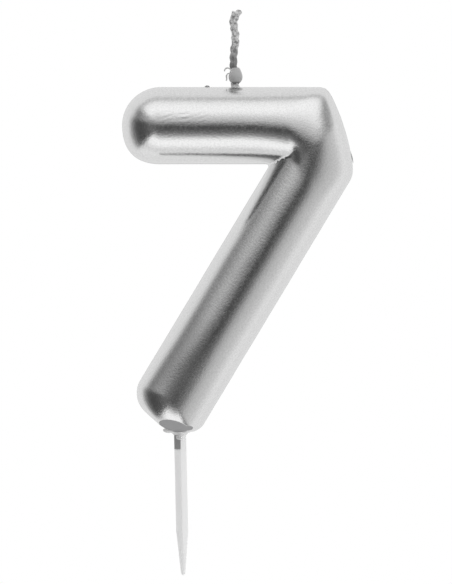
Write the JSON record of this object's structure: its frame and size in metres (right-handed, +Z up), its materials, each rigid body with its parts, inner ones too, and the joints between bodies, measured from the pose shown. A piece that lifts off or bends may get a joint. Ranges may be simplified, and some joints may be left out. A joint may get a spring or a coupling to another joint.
{
  "type": "number birthday candle",
  "caption": "Balloon-shaped numeral seven cast in wax with a silver coat, a plaited wick on its bar and a plastic pick under its foot.",
  "frame": {"origin": "on the pick's axis, in the plane of the numeral's trimmed foot, where the cake's top comes", "axes": "+Z up along the numeral's height, -Z down the pick, +X along the bar to the right as the 7 is read, +Y through the numeral to its back"},
  "size_m": [0.0472, 0.0156, 0.1151],
  "materials": {
    "paraffin_wax": "cast paraffin wax, dull, grey-white",
    "silver_lacquer": "mirror-bright silver lacquer with a faint grain",
    "clear_plastic": "moulded translucent plastic",
    "clear_wax": "clear hardened wax, glossy",
    "cotton_yarn": "waxed cotton",
    "lacquered_wax": "satin silver lacquer over wax",
    "lacquered_yarn": "cotton plait with broken silver lacquer"
  },
  "bodies": {
    "candle": {"wax_body": "paraffin_wax", "lacquer_skin": "silver_lacquer", "pick_stake": "clear_plastic", "pick_seal": "clear_wax", "wick_root": "cotton_yarn", "wick_bead": "lacquered_wax", "wick_loose_threads": "cotton_yarn"},
    "wick": {"wick_yarn_1": "lacquered_yarn", "wick_yarn_2": "lacquered_yarn", "wick_yarn_3": "lacquered_yarn"}
  },
  "joints": [
    {"name": "wick_bend", "type": "hinge", "parent": "candle", "child": "wick", "pos_m": [0.0112, 0, 0.072], "axis": [0, 1, 0], "range_deg": [-60, 60]}
  ]
}
